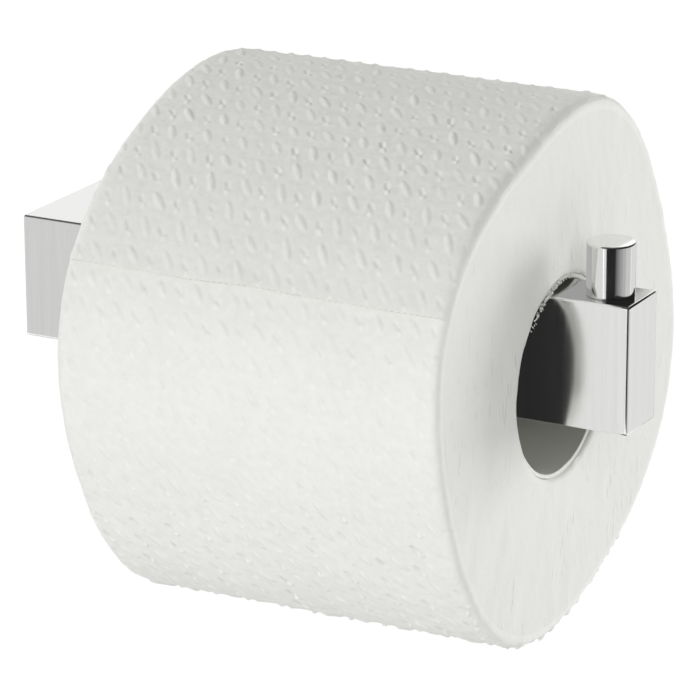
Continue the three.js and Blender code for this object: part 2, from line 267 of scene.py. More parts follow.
class Nodes:
    """A material with short ways to add and link its nodes."""

    def __init__(self, name, **principled):
        self.material = bpy.data.materials.new(name)
        self.material.use_nodes = True
        self.tree = self.material.node_tree
        self.shader = self.tree.nodes["Principled BSDF"]
        for socket, value in principled.items():
            self.shader.inputs[socket.replace("_", " ")].default_value = value

    def add(self, kind, **inputs):
        """A new node. Inputs are sockets to link or values to set, by name or index."""
        node = self.tree.nodes.new(kind)
        for key, value in inputs.items():
            self.set(node, key, value)
        return node

    def set(self, node, key, value):
        index = int(key[1:]) if key[0] == "i" and key[1:].isdigit() else key.replace("_", " ")
        socket = node.inputs[index]
        if isinstance(value, bpy.types.NodeSocket):
            self.tree.links.new(value, socket)
        else:
            socket.default_value = value

    def position(self):
        return self.add("ShaderNodeTexCoord").outputs["Object"]

    def math(self, operation, a, b=0.0):
        node = self.add("ShaderNodeMath", i0=a, i1=b)
        node.operation = operation
        return node.outputs[0]

    def scaled(self, vector, scale):
        node = self.add("ShaderNodeVectorMath", i0=vector, i1=scale)
        node.operation = "MULTIPLY"
        return node.outputs[0]

    def noise(self, vector, scale, detail=2.0, roughness=0.5):
        node = self.add("ShaderNodeTexNoise", Vector=vector, Scale=scale, Detail=detail,
                        Roughness=roughness)
        return node.outputs["Fac"]

    def spread(self, value, low, high, to_low, to_high):
        node = self.add("ShaderNodeMapRange", i0=value, i1=low, i2=high, i3=to_low, i4=to_high)
        return node.outputs[0]

    def mix(self, factor, a, b):
        node = self.tree.nodes.new("ShaderNodeMix")
        node.data_type = "RGBA"
        for index, value in ((0, factor), (6, a), (7, b)):
            socket = node.inputs[index]
            if isinstance(value, bpy.types.NodeSocket):
                self.tree.links.new(value, socket)
            else:
                socket.default_value = value
        return node.outputs[2]

    def bump(self, height, strength, distance, normal=None):
        node = self.add("ShaderNodeBump", Height=height, Strength=strength, Distance=distance)
        if normal is not None:
            self.set(node, "Normal", normal)
        return node.outputs["Normal"]

    def link(self, socket, value):
        self.set(self.shader, socket, value)


def shade(colour, factor=1.0):
    """The colour made lighter or darker, with an alpha for the shader's sockets."""
    return tuple(min(c * factor, 1.0) for c in colour) + (1.0,)


def brushed_steel(name, colour, roughness, streak):
    """Stainless steel brushed up and down, with the reflections drawn out across the grain.
    streak is the strength of the grain in the colour and the bump. Faces that look up are
    painted darker, as painted shade for their darker reflections."""
    m = Nodes(name, Metallic=1.0, Anisotropic=0.35)
    position = m.position()
    fine = m.noise(m.scaled(position, (1.0, 1.0, 0.012)), 2600.0, 3.0, 0.6)
    broad = m.noise(m.scaled(position, (1.0, 1.0, 0.02)), 500.0, 2.0)
    cloud = m.noise(position, 22.0, 2.0)
    grain = m.math("ADD", fine, m.math("MULTIPLY", broad, 0.6))
    brushed = m.mix(m.spread(grain, 0.55, 1.05, 0.0, 1.0), shade(colour, 1 - 0.14 * streak),
                    shade(colour, 1 + 0.06 * streak))
    # painted shade: faces that look up get a darker colour
    normal = m.add("ShaderNodeTexCoord").outputs["Normal"]
    upward = m.add("ShaderNodeSeparateXYZ", Vector=normal).outputs[2]
    m.link("Base Color", m.mix(m.spread(upward, 0.7, 0.95, 0.0, 1.0), brushed,
                               shade(colour, 0.68)))
    rough = m.spread(grain, 0.5, 1.1, roughness - 0.03, roughness + 0.04)
    m.link("Roughness", m.math("ADD", rough, m.spread(cloud, 0.3, 0.7, -0.02, 0.02)))
    m.link("Normal", m.bump(grain, 0.25 * streak, 0.03 * MM))
    tangent = m.add("ShaderNodeTangent")
    tangent.direction_type = "RADIAL"
    tangent.axis = "Z"
    m.link("Tangent", tangent.outputs[0])
    return m.material


def polished_steel(name, colour, roughness):
    """Turned and polished steel, with very faint turning marks round its upright axis."""
    m = Nodes(name, Metallic=1.0)
    position = m.position()
    rings = m.noise(m.scaled(position, (0.02, 0.02, 1.0)), 9000.0, 2.0)
    smudge = m.noise(position, 160.0, 3.0)
    m.link("Base Color", m.mix(m.spread(rings, 0.3, 0.7, 0.0, 1.0),
                               shade(colour, 0.97), shade(colour)))
    m.link("Roughness", m.spread(smudge, 0.3, 0.7, roughness * 0.8, roughness * 1.3))
    m.link("Normal", m.bump(rings, 0.06, 0.01 * MM))
    return m.material


def zinc_steel(name, colour, roughness):
    """Plain or zinc-plated steel with a fine mottle."""
    m = Nodes(name, Metallic=1.0)
    position = m.position()
    grain = m.noise(position, 1500.0, 3.0)
    cloud = m.noise(position, 180.0, 3.0)
    m.link("Base Color", m.mix(m.spread(cloud, 0.3, 0.7, 0.0, 1.0),
                               shade(colour, 0.85), shade(colour)))
    m.link("Roughness", m.spread(grain, 0.3, 0.7, roughness - 0.08, roughness + 0.1))
    m.link("Normal", m.bump(grain, 0.15, 0.04 * MM))
    return m.material


def moulded_nylon(name, colour):
    """Matt moulded plastic."""
    m = Nodes(name, Specular_IOR_Level=0.4)
    position = m.position()
    grain = m.noise(position, 2200.0, 2.0)
    cloud = m.noise(position, 120.0, 2.0)
    m.link("Base Color", m.mix(m.spread(cloud, 0.3, 0.7, 0.0, 1.0),
                               shade(colour, 0.93), shade(colour)))
    m.link("Roughness", m.spread(grain, 0.3, 0.7, 0.5, 0.65))
    m.link("Normal", m.bump(grain, 0.2, 0.05 * MM))
    return m.material


def polar(m):
    """Sockets of the place along the roll's axis, the distance from it and the angle round."""
    parts = m.add("ShaderNodeSeparateXYZ", Vector=m.position())
    y = m.math("SUBTRACT", parts.outputs[1], AXIS.y)
    z = m.math("SUBTRACT", parts.outputs[2], AXIS.z)
    squares = m.math("ADD", m.math("MULTIPLY", y, y), m.math("MULTIPLY", z, z))
    return parts.outputs[0], m.math("SQRT", squares), m.math("ARCTAN2", z, y)


def tissue(name, colour):
    """Soft paper with loose fibres, painted darker as shade in the embossing's dents and beside
    its ovals, and lighter as highlight on its flecks.
    """
    m = Nodes(name, Specular_IOR_Level=0.1, Sheen_Weight=0.12, Sheen_Roughness=0.6)
    position = m.position()
    fibres = m.noise(position, 2300.0, 4.0, 0.65)
    pulp = m.noise(position, 520.0, 3.0, 0.6)
    cloud = m.noise(position, 60.0, 2.0)
    mottle = m.math("ADD", m.math("MULTIPLY", pulp, 0.7), m.math("MULTIPLY", cloud, 0.3))
    paper = m.mix(m.spread(mottle, 0.35, 0.62, 0.0, 1.0), shade(colour, 0.955), shade(colour))
    # painted shade in the dents and beside the ovals, painted highlight on the flecks
    painted_relief_shade = m.add("ShaderNodeAttribute")
    painted_relief_shade.attribute_name = "painted_relief_shade"
    for limit, tone in ((1.0, shade(colour, 0.96)), (-1.0, shade(colour, 1.04))):
        paper = m.mix(m.spread(painted_relief_shade.outputs["Fac"], 0.0, limit, 0.0, 1.0), paper, tone)
    m.link("Base Color", paper)
    m.link("Roughness", m.spread(fibres, 0.3, 0.7, 0.86, 1.0))
    creases = m.math("ABSOLUTE", m.math("SUBTRACT", m.noise(position, 420.0, 3.0, 0.6), 0.5))
    m.link("Normal", m.bump(creases, 0.35, 0.3 * MM, m.bump(fibres, 0.3, 0.05 * MM)))
    return m.material


def tissue_ends(name, colour):
    """The cut ends of the wound paper: fine layers round the axis, with scattered strands."""
    m = Nodes(name, Specular_IOR_Level=0.1, Sheen_Weight=0.1, Sheen_Roughness=0.6)
    _, radius, turn = polar(m)
    around = m.math("MULTIPLY", turn, 0.012)
    layers = m.add("ShaderNodeCombineXYZ", i0=radius, i1=around, i2=0.0).outputs[0]
    fine = m.noise(layers, 2400.0, 3.0, 0.6)
    upright = m.scaled(m.position(), (1.0, 1.0, 0.3))
    lint = m.noise(upright, 620.0, 2.0, 0.5)
    strands = m.spread(lint, 0.6, 0.7, 0.0, 1.0)
    patches = m.spread(m.noise(m.position(), 40.0, 1.0, 0.5), 0.42, 0.62, 0.15, 1.0)
    flecks = m.math("MULTIPLY", strands, patches)
    cut = m.mix(m.spread(fine, 0.36, 0.62, 0.0, 1.0), shade(colour, 0.975), shade(colour))
    m.link("Base Color", m.mix(m.math("MULTIPLY", flecks, 0.4), cut, shade(colour, 0.9)))
    m.link("Roughness", m.spread(fine, 0.3, 0.7, 0.88, 1.0))
    m.link("Normal", m.bump(flecks, 0.7, 0.25 * MM, m.bump(fine, 0.15, 0.05 * MM)))
    return m.material


SEAM_PITCH = 85 * MM                  # advance of the core's spiral seam in one turn


def cardboard(name, colour):
    """Grey recycled board with fibres and a faint spiral seam."""
    m = Nodes(name, Specular_IOR_Level=0.15)
    along, _, turn = polar(m)
    position = m.position()
    fibres = m.noise(m.scaled(position, (0.35, 1.0, 1.0)), 1600.0, 4.0, 0.65)
    cloud = m.noise(position, 140.0, 3.0)
    phase = m.math("FRACT", m.math("ADD", m.math("DIVIDE", along, SEAM_PITCH),
                                   m.math("DIVIDE", turn, 2 * math.pi)))
    seam = m.spread(m.math("ABSOLUTE", m.math("SUBTRACT", phase, 0.5)), 0.0, 0.008, 1.0, 0.0)
    board = m.mix(m.spread(cloud, 0.3, 0.7, 0.0, 1.0), shade(colour, 0.96), shade(colour))
    m.link("Base Color", m.mix(m.math("MULTIPLY", seam, 0.5), board, shade(colour, 0.6)))
    m.link("Roughness", m.spread(fibres, 0.3, 0.7, 0.8, 0.95))
    m.link("Normal", m.bump(fibres, 0.3, 0.06 * MM))
    return m.material


bar_steel = brushed_steel("bar_steel", (0.95, 0.95, 0.94), 0.12, 0.25)
pin_steel = polished_steel("pin_steel", (0.89, 0.89, 0.88), 0.1)
fixing_steel = zinc_steel("fixing_steel", (0.60, 0.61, 0.62), 0.34)
plug_nylon = moulded_nylon("plug_nylon", (0.33, 0.34, 0.35))
paper_white = tissue("paper_white", (0.885, 0.893, 0.855))
# the loose sheet's paper is painted a shade darker than the roll's: painted shade for the darker
# band above its free edge
sheet_white_shaded = tissue("sheet_white_shaded", (0.875, 0.883, 0.843))
paper_ends = tissue_ends("paper_ends", (0.848, 0.856, 0.816))
core_board = cardboard("core_board", (0.58, 0.58, 0.53))
core_rim = tissue("core_rim", (0.84, 0.84, 0.8))


# ---- the bar ---------------------------------------------------------------------------

EDGE_BEVEL = 0.6 * MM
ON_PLANE = 1e-6                       # how near a plane a corner has to be to lie in it
CLEAR = 0.01                          # how far a cutter runs past what it cuts
FLAT_SHARE = 0.02                     # of the largest face's area: above it a face is a side
CAP_PLATE = 2.0 * MM
LEG_WALL = 1.5 * MM
LEG_BORE_DEPTH = 66 * MM
GRUB_HOLE_RADIUS = 2.75 * MM


def extruded(name, outline, low, high, materials):
    """Prism of an outline in X and Y between two heights."""
    n = len(outline)
    verts = [(x, y, low) for x, y in outline] + [(x, y, high) for x, y in outline]
    faces = [tuple(range(n - 1, -1, -1)), tuple(range(n, 2 * n))]
    faces += [(k, (k + 1) % n, n + (k + 1) % n, n + k) for k in range(n)]
    return add_mesh(name, verts, faces, materials)


def bevel_edges(obj, width, segments, keep_sharp):
    """Rounds every edge of obj but those for which keep_sharp(end, end) is true."""
    mesh = bmesh.new()
    mesh.from_mesh(obj.data)
    edges = [e for e in mesh.edges if not keep_sharp(e.verts[0].co, e.verts[1].co)]
    bmesh.ops.bevel(mesh, geom=edges, offset=width, segments=segments, profile=0.5,
                    affect="EDGES", clamp_overlap=True)
    mesh.normal_update()
    # the flat sides keep sharp borders, so that only the narrow bevels are shaded as round
    flat = max(f.calc_area() for f in mesh.faces) * FLAT_SHARE
    for face in mesh.faces:
        face.smooth = True
    for edge in mesh.edges:
        large = any(f.calc_area() > flat for f in edge.link_faces)
        edge.smooth = not (large or edge.calc_face_angle(0.0) > math.radians(35))
    mesh.to_mesh(obj.data)
    mesh.free()


def bar_body():
    """Mitred tube: front bar and leg in one skin, open at the wall."""
    left, front, back = bar_lo[0], bar_lo[1], bar_hi[1]
    inner, seam, wall = leg_hi[0], cap_hi[0] - CAP_PLATE, leg_hi[1]
    outline = [(left, front), (seam, front), (seam, back), (inner, back), (inner, wall),
               (left, wall)]
    body = extruded("bar_body", outline, bar_lo[2], bar_hi[2], [bar_steel])

    def stays_sharp(a, b):
        at_seam = all(abs(v.x - seam) < ON_PLANE for v in (a, b))
        at_wall = all(abs(v.y - wall) < ON_PLANE for v in (a, b))
        in_corner = all(abs(v.x - inner) < ON_PLANE and abs(v.y - back) < ON_PLANE
                        for v in (a, b))
        return at_seam or at_wall or in_corner

    bevel_edges(body, EDGE_BEVEL, 4, stays_sharp)
    bore = extruded("bore", [(left + LEG_WALL, wall - LEG_BORE_DEPTH),
                             (inner - LEG_WALL, wall - LEG_BORE_DEPTH),
                             (inner - LEG_WALL, wall + CLEAR), (left + LEG_WALL, wall + CLEAR)],
                    bar_lo[2] + LEG_WALL, bar_hi[2] - LEG_WALL, [bar_steel])
    subtract(body, bore)
    grub_lo, grub_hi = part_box("grub_screw")
    hole = [(GRUB_HOLE_RADIUS * math.cos(a) + (grub_lo[0] + grub_hi[0]) / 2,
             GRUB_HOLE_RADIUS * math.sin(a) + (grub_lo[1] + grub_hi[1]) / 2)
            for a in np.linspace(0, 2 * math.pi, 48, endpoint=False)]
    drill = extruded("drill", hole, bar_lo[2] - CLEAR, bar_lo[2] + 2 * LEG_WALL, [bar_steel])
    subtract(body, drill)
    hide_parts("front_bar", "wall_leg")
    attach(body, "holder")
    return body


def end_cap():
    """Plate that closes the bar's free end, with its outer edge just broken."""
    seam, end = cap_hi[0] - CAP_PLATE, cap_hi[0]
    outline = [(seam, bar_lo[1]), (end, bar_lo[1]), (end, bar_hi[1]), (seam, bar_hi[1])]
    cap = extruded("end_cap_plate", outline, bar_lo[2], bar_hi[2], [bar_steel])
    bevel_edges(cap, EDGE_BEVEL, 4,
                lambda a, b: all(abs(v.x - seam) < ON_PLANE for v in (a, b)))
    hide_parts("bar_end_cap")
    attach(cap, "holder")
    return cap


def stop_pin():
    """Polished pin with a broken upper edge and its threaded spigot below."""
    radius = (pin_hi[0] - pin_lo[0]) / 2 + 0.1 * MM
    spigot, base, top = 2.5 * MM, BAR_TOP + 0.02 * MM, pin_hi[2]
    broken = 0.45 * MM
    profile = [(0.0, pin_lo[2]), (spigot - 0.5 * MM, pin_lo[2]), (spigot, pin_lo[2] + 0.5 * MM),
               (spigot, base), (radius - 0.15 * MM, base), (radius, base + 0.15 * MM)]
    for step in range(5):
        a = step / 4 * math.pi / 2
        profile.append((radius - broken + broken * math.cos(a),
                        top - broken + broken * math.sin(a)))
    profile.append((0.0, top))
    pin = lathe("polished_pin", profile, (PIN_X, PIN_Y, 0.0), 128, [pin_steel], smooth_angle=30)
    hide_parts("stop_pin")
    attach(pin, "holder")
    return pin


# ---- the roll --------------------------------------------------------------------------

AROUND = 1000                         # points round the roll
ALONG = 240                           # points along its wound surface
END_RINGS = 44                        # points across each cut end
EDGE_STEPS = 7                        # points over each rounded edge
SHEET_ROWS, SHEET_COLUMNS = 250, 330  # points along and round the loose sheet
EMBOSS_ORIGIN_ROLL = (52.1 * MM, 20.0 * MM)
EMBOSS_ORIGIN_SHEET = (48.7 * MM, 71.7 * MM)


def end_relief(radius, angle, seed):
    """How far the cut end stands proud: it swells towards the core and its layers wander."""
    span = (radius - CORE_OUTER) / (ROLL_RADIUS - CORE_OUTER)
    swell = 0.5 * MM * (1.0 - smooth(span))
    across, upward = radius * np.cos(angle), radius * np.sin(angle)
    lumps = value_noise((across + 0.4 * upward) / (5.0 * MM), (upward - 0.4 * across) / (8.0 * MM),
                        seed)
    dips = value_noise((across - 0.3 * upward) / (2.1 * MM), (upward + 0.3 * across) / (3.7 * MM),
                       seed + 1)
    return swell + MM * (0.13 * lumps + 0.05 * dips)


def paper_roll():
    """The wound paper: cut ends, rounded edges and the embossed outside, as one closed skin."""
    angle = np.linspace(0, 2 * math.pi, AROUND, endpoint=False)
    inner = CORE_OUTER + 0.1 * MM
    fade_in = smooth((angle - SHEET_END + 0.05) / 0.04) * smooth((SHEET_START - angle) / 0.02)
    bare = 1.0 - fade_in                     # the roll is smooth where the loose sheet lies
    lower_front = smooth((angle - math.radians(220)) / 0.5) * smooth((2 * math.pi - angle) / 0.6)
    bare = bare * (1.0 + 0.8 * lower_front)  # deeper relief and painted shade low on the user's side
    # the saw left the right edge ragged, most of all below
    low = smooth((angle - math.radians(215)) / 0.3) * smooth((math.radians(300) - angle) / 0.3)
    ragged = value_noise(angle * 75, angle * 0, 91) + 0.7 * value_noise(angle * 190, angle * 0, 92)
    ragged = np.clip(ragged, -0.4, 1.3) * (0.12 + low) * 0.8 * MM

    def cut_end(x_end, side, seed):
        rings = []
        outer = bare_radius(x_end, angle)
        for t in np.linspace(0.0, 1.0, END_RINGS, endpoint=False):
            radius = inner + t * (outer - EDGE_ROUND - inner)
            proud = end_relief(radius, angle, seed) if t > 0 else 0.0
            rings.append(on_roll(x_end + side * proud, radius, angle))
        return rings

    def edge(x_end, side, seed):
        rings = []
        outer = bare_radius(x_end, angle)
        lift = end_relief(outer - EDGE_ROUND, angle, seed)
        ripple = embossing(np.full_like(angle, x_end), angle, EMBOSS_ORIGIN_ROLL)
        for k in range(EDGE_STEPS):
            a = k / EDGE_STEPS * math.pi / 2
            radius = outer - EDGE_ROUND * (1 - math.sin(a))
            x = x_end - side * EDGE_ROUND * (1 - math.cos(a)) + side * lift * math.cos(a)
            torn = ragged * math.sin(a) if side > 0 else 0.0
            rings.append(on_roll(x, radius + ripple * bare * math.sin(a) ** 2 + torn, angle))
        return rings

    rings = cut_end(ROLL_LEFT, -1, 31) + edge(ROLL_LEFT, -1, 31)
    # painted shade and highlight of the embossing, ring by ring
    painted_shade_marks = []
    for x in np.linspace(ROLL_LEFT + EDGE_ROUND, ROLL_RIGHT - EDGE_ROUND, ALONG):
        here = np.full_like(angle, x)
        relief = embossing(here, angle, EMBOSS_ORIGIN_ROLL) * bare
        rings.append(on_roll(x, bare_radius(x, angle) + relief, angle))
        painted_shade_marks.append(painted_relief_shade_at(here, angle, EMBOSS_ORIGIN_ROLL) * bare)
    rings += edge(ROLL_RIGHT, 1, 47)[::-1] + cut_end(ROLL_RIGHT, 1, 47)[::-1]

    points = np.stack(rings)
    count = len(rings)
    painted_relief_shade = np.zeros((count, AROUND))      # no painted shade on the cut ends or their edges
    painted_relief_shade[END_RINGS + EDGE_STEPS:][:ALONG] = painted_shade_marks
    faces = grid_faces(count, AROUND, wrap_rows=True, wrap_columns=True)
    on_end = np.zeros(count, dtype=np.int32)
    on_end[:END_RINGS] = 1
    on_end[-END_RINGS:] = 1
    index = np.repeat(on_end, AROUND)
    roll = add_mesh("wound_paper", points.reshape(-1, 3), faces, [paper_white, paper_ends],
                    index, smooth_angle=60)
    add_painted_relief_shade(roll, painted_relief_shade)
    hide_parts("paper_roll")
    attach(roll, "roll")
    return roll


def loose_sheet():
    """The outermost sheet: it leaves the roll at the back, lies over the top and ends in a
    perforated edge on the user's side."""
    rows, columns = SHEET_ROWS, SHEET_COLUMNS
    x = np.linspace(ROLL_LEFT + 0.3 * MM, ROLL_RIGHT - 0.3 * MM, rows)[:, None]
    t = np.linspace(0.0, 1.0, columns)[None, :]
    x, t = np.broadcast_arrays(x, t)
    waver = 0.35 * MM * value_noise(x / (17 * MM), x * 0, 61)
    teeth = 0.12 * MM * np.cos(2 * math.pi * x / (1.5 * MM))
    end = SHEET_END + (waver + teeth) / ROLL_RADIUS
    angle = end + t * (SHEET_START - end)
    base = bare_radius(x, angle)
    edge_x = np.minimum(x - ROLL_LEFT, ROLL_RIGHT - x)
    lift = SHEET_LIFT * smooth((SHEET_START - angle) / 0.25)
    lift = lift * (0.2 + 0.8 * smooth(edge_x / (4 * MM)))
    curl = 0.5 * MM * smooth(1 - t / 0.035) * (0.6 + 0.4 * value_noise(x / (11 * MM), x * 0, 62))
    from_end = t * SHEET_LENGTH
    relief = embossing(x, angle, EMBOSS_ORIGIN_SHEET) * (0.35 + 0.65 * smooth(from_end / (4 * MM)))
    from_edge = np.clip(edge_x / EDGE_ROUND, 0, 1)
    round_off = EDGE_ROUND * (1 - np.sqrt(np.clip(1 - (1 - from_edge) ** 2, 0, 1)))
    top = base + lift + curl + relief - round_off
    under = top - SHEET_THICK
    verts = np.vstack([on_roll(x, top, angle).reshape(-1, 3),
                       on_roll(x, under, angle).reshape(-1, 3)])
    size = rows * columns
    upper = grid_faces(rows, columns)
    lower = grid_faces(rows, columns)[:, ::-1] + size
    ring = ([i * columns for i in range(rows)]
            + [(rows - 1) * columns + j for j in range(1, columns)]
            + [i * columns + columns - 1 for i in range(rows - 2, -1, -1)]
            + [j for j in range(columns - 2, 0, -1)])
    rim = [(a, a + size, b + size, b) for a, b in zip(ring, ring[1:] + ring[:1])]
    faces = [tuple(f) for f in upper] + [tuple(f) for f in lower] + [f[::-1] for f in rim]
    sheet = add_mesh("loose_sheet", verts, faces, [sheet_white_shaded], smooth_angle=60)
    # painted shade and highlight of the embossing on the sheet
    painted_shade_marks = painted_relief_shade_at(x, angle, EMBOSS_ORIGIN_SHEET)
    add_painted_relief_shade(sheet, np.concatenate([painted_shade_marks.ravel(), painted_shade_marks.ravel()]))
    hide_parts("tail_sheet")
    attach(sheet, "roll")
    return sheet


def core_tube():
    """Cardboard tube with slightly uneven cut ends."""
    segments = 256
    turn = np.linspace(0, 2 * math.pi, segments, endpoint=False)
    wander = 0.12 * MM * value_noise(turn / (2 * math.pi) * 40, turn * 0, 71)
    left, right = core_lo[0] - 0.1 * MM, core_hi[0] + 0.1 * MM
    rings = []
    for x, radius in [(left, CORE_INNER + 0.25 * MM), (left + 0.2 * MM, CORE_INNER),
                      (right - 0.2 * MM, CORE_INNER), (right, CORE_INNER + 0.25 * MM),
                      (right, CORE_OUTER - 0.2 * MM), (right - 0.3 * MM, CORE_OUTER),
                      (left + 0.3 * MM, CORE_OUTER), (left, CORE_OUTER - 0.2 * MM)]:
        rings.append(on_roll(x + wander, np.full_like(turn, radius), turn))
    rings = rings[::-1]
    faces = grid_faces(len(rings), segments, wrap_rows=True, wrap_columns=True)
    points = np.stack(rings).reshape(-1, 3)
    core = add_mesh("cardboard_core", points, faces, [core_board, core_rim], smooth_angle=40)
    for polygon in core.data.polygons:
        if abs(polygon.normal.x) > 0.5:
            polygon.material_index = 1
    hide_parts("core_tube")
    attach(core, "roll")
    return core


def core_fray():
    """Torn fibres of paper left on the upper rim of the hole when the roll was sawn."""
    chance = np.random.RandomState(5)
    verts, faces = [], []
    for _ in range(240):
        turn = math.radians(min(max(chance.normal(70, 14), 42), 96))
        radius = CORE_OUTER + chance.uniform(-0.6, 0.5) * MM
        along = ROLL_RIGHT + chance.uniform(0.4, 1.0) * MM
        size = chance.uniform(0.1, 0.34) * MM
        slant, tip = chance.uniform(0, math.pi), chance.uniform(-0.7, 0.7)
        across = (math.cos(slant) * size, math.sin(slant) * size)
        narrow = (-math.sin(slant) * size * 0.4, math.cos(slant) * size * 0.4)
        first = len(verts)
        for u, v, lift in ((-1, -1, 0), (1, -0.6, tip), (0.7, 1, tip), (-0.8, 0.7, -tip)):
            point_turn = turn + (across[0] * u + narrow[0] * v) / radius
            point_radius = radius + across[1] * u + narrow[1] * v
            verts.append((along + lift * size, AXIS.y - point_radius * math.cos(point_turn),
                          AXIS.z + point_radius * math.sin(point_turn)))
        for k in range(4):
            verts.append(tuple(a + b for a, b in zip(verts[first + k], (-0.06 * MM, 0, 0))))
        ring = [(0, 1), (1, 2), (2, 3), (3, 0)]
        faces += [tuple(first + k for k in (0, 1, 2, 3)), tuple(first + k for k in (7, 6, 5, 4))]
        faces += [(first + b, first + a, first + a + 4, first + b + 4) for a, b in ring]
    fray = add_mesh("core_fray", verts, faces, [core_rim], smooth_angle=20)
    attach(fray, "roll")
    return fray


# ---- fixings that keep their CAD shape ---------------------------------------------------

def finish_cad_nodes():
    """Gives the fixings, which keep their CAD shape, their materials."""
    for name in ("wall_bracket", "pin_weld_nut", "leg_weld_nut", "grub_screw",
                 "wall_screw_upper", "wall_screw_lower"):
        frame["nodes"][name].material_slots[0].material = fixing_steel
    for name in ("wall_plug_upper", "wall_plug_lower"):
        frame["nodes"][name].material_slots[0].material = plug_nylon


# ---- studio ------------------------------------------------------------------------------

CAMERA_AZIMUTH = math.radians(28.36)
CAMERA_ELEVATION = math.radians(18.11)
CAMERA_ROLL = math.radians(-0.18)
CAMERA_DISTANCE = 0.9246              # to the plane through the roll's centre
CAMERA_OFFSET = (6.77 * MM, 0.41 * MM)  # roll's centre from the optical axis, right and up
CAMERA_LENS = 207.7
SENSOR = 36.0

# Brightness of the surroundings at three heights, and of each lamp.
STRENGTH = {"below": 0.745, "horizon": 0.26, "overhead": 0.12, "key": 4.35, "front": 3.9,
            "rim": 6.75, "fill": 2.85}

CARD_DISTANCE = 1.6                   # of most of the cards that mirror reflections see
CARD_FOOT = -1.6                      # height of their lower edge


def direction(azimuth, elevation):
    """Unit vector towards an azimuth counted from -Y to +X, and an elevation."""
    flat = math.cos(elevation)
    return Vector((math.sin(azimuth) * flat, -math.cos(azimuth) * flat, math.sin(elevation)))


def camera():
    """Camera turned to the roll, with the roll a little off the middle of the picture."""
    data = bpy.data.cameras.new("camera")
    data.lens = CAMERA_LENS
    data.sensor_width = SENSOR
    data.clip_start, data.clip_end = 0.05, 60.0
    back = direction(CAMERA_AZIMUTH, CAMERA_ELEVATION)
    level = Vector((math.cos(CAMERA_AZIMUTH), math.sin(CAMERA_AZIMUTH), 0.0))
    upright = back.cross(level)
    right = math.cos(CAMERA_ROLL) * level + math.sin(CAMERA_ROLL) * upright
    up = back.cross(right)
    centre = Vector(((ROLL_LEFT + ROLL_RIGHT) / 2, AXIS.y, AXIS.z))
    place = centre + CAMERA_DISTANCE * back - CAMERA_OFFSET[0] * right - CAMERA_OFFSET[1] * up
    obj = bpy.data.objects.new("camera", data)
    obj.matrix_world = Matrix((
        (right.x, up.x, back.x, place.x),
        (right.y, up.y, back.y, place.y),
        (right.z, up.z, back.z, place.z),
        (0.0, 0.0, 0.0, 1.0)))
    bpy.context.scene.collection.objects.link(obj)
    bpy.context.scene.camera = obj


def glow(name, value):
    """Material that only gives light, grey of the given value."""
    material = bpy.data.materials.new(name)
    material.use_nodes = True
    nodes, links = material.node_tree.nodes, material.node_tree.links
    nodes.clear()
    emission = nodes.new("ShaderNodeEmission")
    emission.inputs["Color"].default_value = (value, value, value, 1.0)
    output = nodes.new("ShaderNodeOutputMaterial")
    links.new(emission.outputs[0], output.inputs[0])
    return material


def mirror_card(name, verts, faces, value):
    """Card of the studio that only mirror reflections see, grey of the given value."""
    card = add_mesh(name, verts, faces, [glow(name, value)])
    card.visible_camera = False
    card.visible_diffuse = False
    card.visible_shadow = False
    card.visible_transmission = False


def strip(n):
    """Faces between two rows of n points each."""
    return [(k, k + 1, n + k + 1, n + k) for k in range(n - 1)]


def curved_card(name, azimuths, heights, distance, value):
    """Upright curved card round the object, seen only in mirror reflections."""
    steps = np.radians(np.linspace(azimuths[0], azimuths[1], 24))
    verts = [(AXIS.x + distance * math.sin(a), AXIS.y - distance * math.cos(a), z)
             for z in heights for a in steps]
    mirror_card(name, verts, strip(len(steps)), value)


def under_card():
    """Dark disc under the object, mirrored by its lower edges."""
    radius, height = 0.75, -0.85
    turns = np.linspace(0, 2 * math.pi, 48, endpoint=False)
    verts = [(AXIS.x + radius * math.cos(a), AXIS.y + radius * math.sin(a), height)
             for a in turns]
    mirror_card("under_card", verts, [tuple(range(len(verts)))], 0.03)


def dark_bore():
    """Dark card inside the core, seen only in mirror reflections: painted shade that keeps the
    bar's face dark where it looks into the hole.
    """
    turns = np.radians(np.linspace(-70, 75, 30))
    verts = np.vstack([on_roll(x, np.full_like(turns, CORE_INNER - 0.3 * MM), turns)
                       for x in (ROLL_LEFT + 20 * MM, ROLL_RIGHT - 0.5 * MM)])
    mirror_card("dark_bore", verts, strip(len(turns)), 0.02)


def bounce_card():
    """Sector of card before the roll's cut end, mirrored by the bar's face as paper."""
    turns, x = np.radians(np.linspace(-75, 62, 30)), ROLL_RIGHT + 1.6 * MM
    radii = (CORE_OUTER + 0.5 * MM, ROLL_RADIUS - 3 * MM)
    verts = np.vstack([on_roll(x, np.full_like(turns, radius), turns) for radius in radii])
    mirror_card("bounce_card", verts, strip(len(turns)), 0.76)


def pin_cards():
    """Cards between the pin and the roll's cut end, seen only in mirror reflections: the pin's
    left side and the bar's top face look into them, and they paint darker reflections there as
    shade."""
    x = ROLL_RIGHT + 1.8 * MM
    # in millimetres past the pin's axis and above the bar, then the value
    cards = [(-7, 40, -1, 11.5, 0.47), (7.6, 14, -16, -1, 0.2), (14, 44, -16, -1, 0.08)]
    for k, (near, far, low, high, value) in enumerate(cards):
        near, far = PIN_Y + near * MM, PIN_Y + far * MM
        low, high = BAR_TOP + low * MM, BAR_TOP + high * MM
        verts = [(x, near, low), (x, far, low), (x, far, high), (x, near, high)]
        mirror_card("pin_card_%d" % k, verts, [(0, 1, 2, 3)], value)


